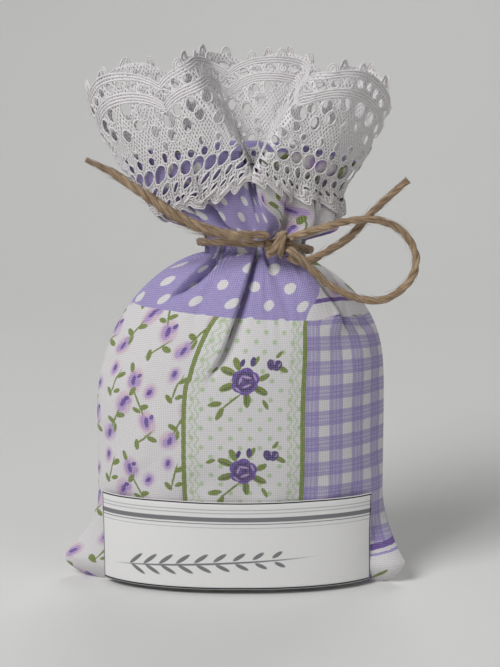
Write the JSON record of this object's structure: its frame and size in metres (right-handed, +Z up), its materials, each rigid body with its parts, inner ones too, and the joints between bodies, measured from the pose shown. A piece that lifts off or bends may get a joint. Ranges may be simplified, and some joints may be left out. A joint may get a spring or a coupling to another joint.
{
  "type": "lavender sachet",
  "caption": "Stuffed cotton sachet bag, drawn in at the neck by jute twine tied in a half bow, with a wide lace ruffle above the tie and a paper label across the lower front.",
  "frame": {"origin": "on the surface that the bag stands on, at the middle of the bag's box from side to side and front to back", "axes": "+Z up through the tie, the front with the bow and the label faces -Y, +X to the right seen from the front"},
  "size_m": [0.0914, 0.0383, 0.1425],
  "materials": {
    "printed_cotton": "matte",
    "cotton_lace": "matte",
    "sewing_thread": "matte",
    "dried_lavender": "matte",
    "jute_twine": "matte",
    "label_paper": "matte"
  },
  "bodies": {
    "bag": {"front_panel": "printed_cotton", "back_panel": "printed_cotton", "seam_thread": "sewing_thread", "lavender_fill": "dried_lavender", "lace_front": "cotton_lace", "lace_back": "cotton_lace", "lace_stitch_front": "sewing_thread", "lace_stitch_back": "sewing_thread", "paper_label": "label_paper", "neck_wrap": "jute_twine", "bow_knot": "jute_twine"},
    "loop": {"bow_loop": "jute_twine"},
    "left_tail": {"tail_left": "jute_twine"},
    "right_tail": {"tail_right": "jute_twine"}
  },
  "joints": [
    {"name": "loop_swing", "type": "hinge", "parent": "bag", "child": "loop", "pos_m": [0.0099, -0.01429, 0.09467], "axis": [0, 0, -1], "range_deg": [0, 40], "stiffness_Nm_per_rad": 0.0004},
    {"name": "left_tail_swing", "type": "hinge", "parent": "bag", "child": "left_tail", "pos_m": [0.0099, -0.01429, 0.09467], "axis": [0, 0, 1], "range_deg": [0, 28], "stiffness_Nm_per_rad": 0.0004},
    {"name": "right_tail_lift", "type": "hinge", "parent": "bag", "child": "right_tail", "pos_m": [0.0099, -0.01429, 0.09467], "axis": [0, -1, 0], "range_deg": [-15, 15], "stiffness_Nm_per_rad": 0.0004}
  ]
}
